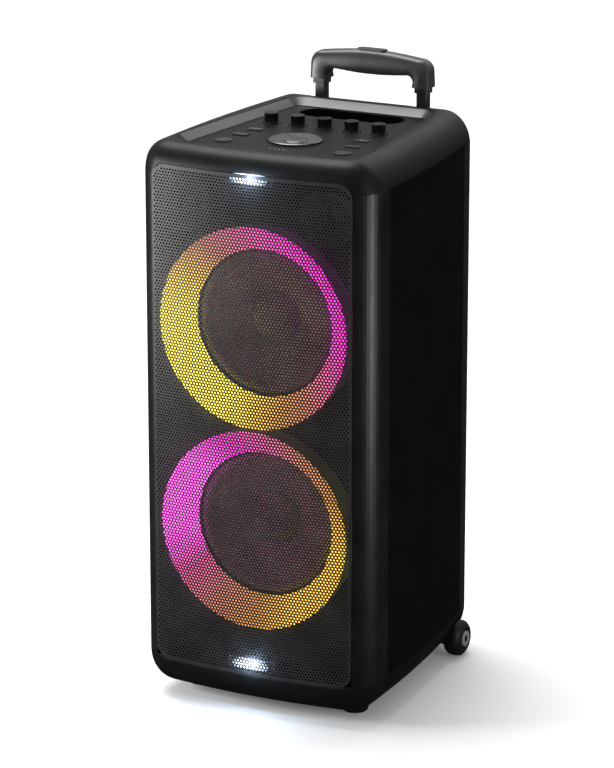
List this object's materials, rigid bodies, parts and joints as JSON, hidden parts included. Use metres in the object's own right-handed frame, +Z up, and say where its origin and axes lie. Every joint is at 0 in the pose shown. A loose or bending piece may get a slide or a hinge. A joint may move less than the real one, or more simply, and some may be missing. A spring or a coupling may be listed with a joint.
{
  "type": "party speaker",
  "caption": "Upright party speaker with two ringed woofers behind a bowed perforated grille, a top control tray, a telescopic trolley handle and rear wheels.",
  "frame": {"origin": "on the floor, under the middle of the cabinet's box", "axes": "+Z up, the grille faces -Y, +X is to the right as seen from the front"},
  "size_m": [0.318, 0.368, 0.7787],
  "materials": {
    "cap_plastic": "fine-textured matte black",
    "side_plastic": "satin black",
    "column_plastic": "semi-gloss black",
    "grille_steel": "dark grey powder coat",
    "panel_plastic": "dark grey satin",
    "baffle_board": "black painted board",
    "light_diffuser": "translucent, lit from behind",
    "strobe_lens": "clear",
    "circuit_board": "solder mask",
    "cone_paper": "coated cone and rubber surround",
    "basket_steel": "black paint",
    "magnet": "ferrite",
    "horn_plastic": "black",
    "knob_plastic": "black, fluted",
    "pad_plastic": "gunmetal",
    "button_plastic": "slate grey",
    "light_pipe": "translucent white",
    "slot_rubber": "soft black",
    "grip_plastic": "soft-touch black",
    "tube_metal": "black anodised",
    "wheel_rubber": "black",
    "bracket_metal": "grey",
    "foot_rubber": "black",
    "battery_wrap": "shrink wrap",
    "rear_plastic": "textured black",
    "screw_steel": "black zinc"
  },
  "bodies": {
    "cabinet": {"top_cap": "cap_plastic", "control_panel": "panel_plastic", "base_cap": "cap_plastic", "left_column": "column_plastic", "right_column": "column_plastic", "left_side_panel": "side_plastic", "right_side_panel": "side_plastic", "rear_panel": "rear_plastic", "front_baffle": "baffle_board", "grille": "grille_steel", "upper_light_ring": "light_diffuser", "lower_light_ring": "light_diffuser", "upper_ring_board": "circuit_board", "lower_ring_board": "circuit_board", "upper_woofer_basket": "basket_steel", "lower_woofer_basket": "basket_steel", "upper_woofer_magnet": "magnet", "lower_woofer_magnet": "magnet", "left_tweeter_horn": "horn_plastic", "right_tweeter_horn": "horn_plastic", "left_tweeter_driver": "horn_plastic", "right_tweeter_driver": "horn_plastic", "upper_strobe": "strobe_lens", "lower_strobe": "strobe_lens", "control_board": "circuit_board", "battery_lights": "light_pipe", "tablet_slot_liner": "slot_rubber", "guide_tubes": "tube_metal", "wheel_brackets": "bracket_metal", "front_feet": "foot_rubber", "battery_pack": "battery_wrap", "amplifier_board": "circuit_board", "port_tube": "rear_plastic", "connector_panel": "rear_plastic", "screws": "screw_steel"},
    "upper_cone": {"upper_woofer_cone": "cone_paper"},
    "lower_cone": {"lower_woofer_cone": "cone_paper"},
    "handle_middle": {"middle_tubes": "tube_metal"},
    "handle_top": {"handle_grip": "grip_plastic", "handle_collars": "grip_plastic", "inner_tubes": "tube_metal"},
    "handle_release": {"release_button": "grip_plastic"},
    "left_wheel_body": {"left_wheel": "wheel_rubber"},
    "right_wheel_body": {"right_wheel": "wheel_rubber"},
    "knob_1_body": {"knob_1": "knob_plastic"},
    "knob_2_body": {"knob_2": "knob_plastic"},
    "knob_3_body": {"knob_3": "knob_plastic"},
    "knob_4_body": {"knob_4": "knob_plastic"},
    "knob_5_body": {"knob_5": "knob_plastic"},
    "pad_key_front_body": {"pad_key_front": "pad_plastic"},
    "pad_key_right_body": {"pad_key_right": "pad_plastic"},
    "pad_key_back_body": {"pad_key_back": "pad_plastic"},
    "pad_key_left_body": {"pad_key_left": "pad_plastic"},
    "pad_key_centre_body": {"pad_key_centre": "pad_plastic"},
    "button_left_1_body": {"button_left_1": "button_plastic"},
    "button_left_2_body": {"button_left_2": "button_plastic"},
    "button_left_3_body": {"button_left_3": "button_plastic"},
    "button_right_1_body": {"button_right_1": "button_plastic"},
    "button_right_2_body": {"button_right_2": "button_plastic"},
    "button_right_3_body": {"button_right_3": "button_plastic"}
  },
  "joints": [
    {"name": "handle_middle_slide", "type": "slide", "parent": "cabinet", "child": "handle_middle", "axis": [0, 0, 1], "range_m": [0, 0.18]},
    {"name": "handle_top_slide", "type": "slide", "parent": "handle_middle", "child": "handle_top", "axis": [0, 0, 1], "range_m": [0, 0.17]},
    {"name": "release_press", "type": "slide", "parent": "handle_top", "child": "handle_release", "axis": [0, 0, -1], "range_m": [0, 0.002], "stiffness_N_per_m": 900, "springref_m": -0.002},
    {"name": "left_wheel_spin", "type": "hinge", "parent": "cabinet", "child": "left_wheel_body", "pos_m": [-0.142, 0.128, 0.0235], "axis": [1, 0, 0], "continuous": true},
    {"name": "right_wheel_spin", "type": "hinge", "parent": "cabinet", "child": "right_wheel_body", "pos_m": [0.142, 0.128, 0.0235], "axis": [1, 0, 0], "continuous": true},
    {"name": "knob_1_turn", "type": "hinge", "parent": "cabinet", "child": "knob_1_body", "pos_m": [-0.074, 0.026, 0.7], "axis": [0, 0, 1], "range_deg": [-150, 150]},
    {"name": "knob_2_turn", "type": "hinge", "parent": "cabinet", "child": "knob_2_body", "pos_m": [-0.037, 0.026, 0.7], "axis": [0, 0, 1], "range_deg": [-150, 150]},
    {"name": "knob_3_turn", "type": "hinge", "parent": "cabinet", "child": "knob_3_body", "pos_m": [0, 0.026, 0.7], "axis": [0, 0, 1], "range_deg": [-150, 150]},
    {"name": "knob_4_turn", "type": "hinge", "parent": "cabinet", "child": "knob_4_body", "pos_m": [0.037, 0.026, 0.7], "axis": [0, 0, 1], "range_deg": [-150, 150]},
    {"name": "knob_5_turn", "type": "hinge", "parent": "cabinet", "child": "knob_5_body", "pos_m": [0.074, 0.026, 0.7], "axis": [0, 0, 1], "range_deg": [-150, 150]},
    {"name": "pad_key_front_press", "type": "slide", "parent": "cabinet", "child": "pad_key_front_body", "axis": [0, 0, -1], "range_m": [0, 0.0008], "stiffness_N_per_m": 600, "springref_m": -0.001},
    {"name": "pad_key_right_press", "type": "slide", "parent": "cabinet", "child": "pad_key_right_body", "axis": [0, 0, -1], "range_m": [0, 0.0008], "stiffness_N_per_m": 600, "springref_m": -0.001},
    {"name": "pad_key_back_press", "type": "slide", "parent": "cabinet", "child": "pad_key_back_body", "axis": [0, 0, -1], "range_m": [0, 0.0008], "stiffness_N_per_m": 600, "springref_m": -0.001},
    {"name": "pad_key_left_press", "type": "slide", "parent": "cabinet", "child": "pad_key_left_body", "axis": [0, 0, -1], "range_m": [0, 0.0008], "stiffness_N_per_m": 600, "springref_m": -0.001},
    {"name": "pad_key_centre_press", "type": "slide", "parent": "cabinet", "child": "pad_key_centre_body", "axis": [0, 0, -1], "range_m": [0, 0.0008], "stiffness_N_per_m": 600, "springref_m": -0.001},
    {"name": "button_left_1_press", "type": "slide", "parent": "cabinet", "child": "button_left_1_body", "axis": [0, 0, -1], "range_m": [0, 0.0008], "stiffness_N_per_m": 600, "springref_m": -0.001},
    {"name": "button_left_2_press", "type": "slide", "parent": "cabinet", "child": "button_left_2_body", "axis": [0, 0, -1], "range_m": [0, 0.0008], "stiffness_N_per_m": 600, "springref_m": -0.001},
    {"name": "button_left_3_press", "type": "slide", "parent": "cabinet", "child": "button_left_3_body", "axis": [0, 0, -1], "range_m": [0, 0.0008], "stiffness_N_per_m": 600, "springref_m": -0.001},
    {"name": "button_right_1_press", "type": "slide", "parent": "cabinet", "child": "button_right_1_body", "axis": [0, 0, -1], "range_m": [0, 0.0008], "stiffness_N_per_m": 600, "springref_m": -0.001},
    {"name": "button_right_2_press", "type": "slide", "parent": "cabinet", "child": "button_right_2_body", "axis": [0, 0, -1], "range_m": [0, 0.0008], "stiffness_N_per_m": 600, "springref_m": -0.001},
    {"name": "button_right_3_press", "type": "slide", "parent": "cabinet", "child": "button_right_3_body", "axis": [0, 0, -1], "range_m": [0, 0.0008], "stiffness_N_per_m": 600, "springref_m": -0.001},
    {"name": "upper_cone_stroke", "type": "slide", "parent": "cabinet", "child": "upper_cone", "axis": [0, 1, 0], "range_m": [-0.003, 0.003], "stiffness_N_per_m": 1500},
    {"name": "lower_cone_stroke", "type": "slide", "parent": "cabinet", "child": "lower_cone", "axis": [0, 1, 0], "range_m": [-0.003, 0.003], "stiffness_N_per_m": 1500}
  ]
}
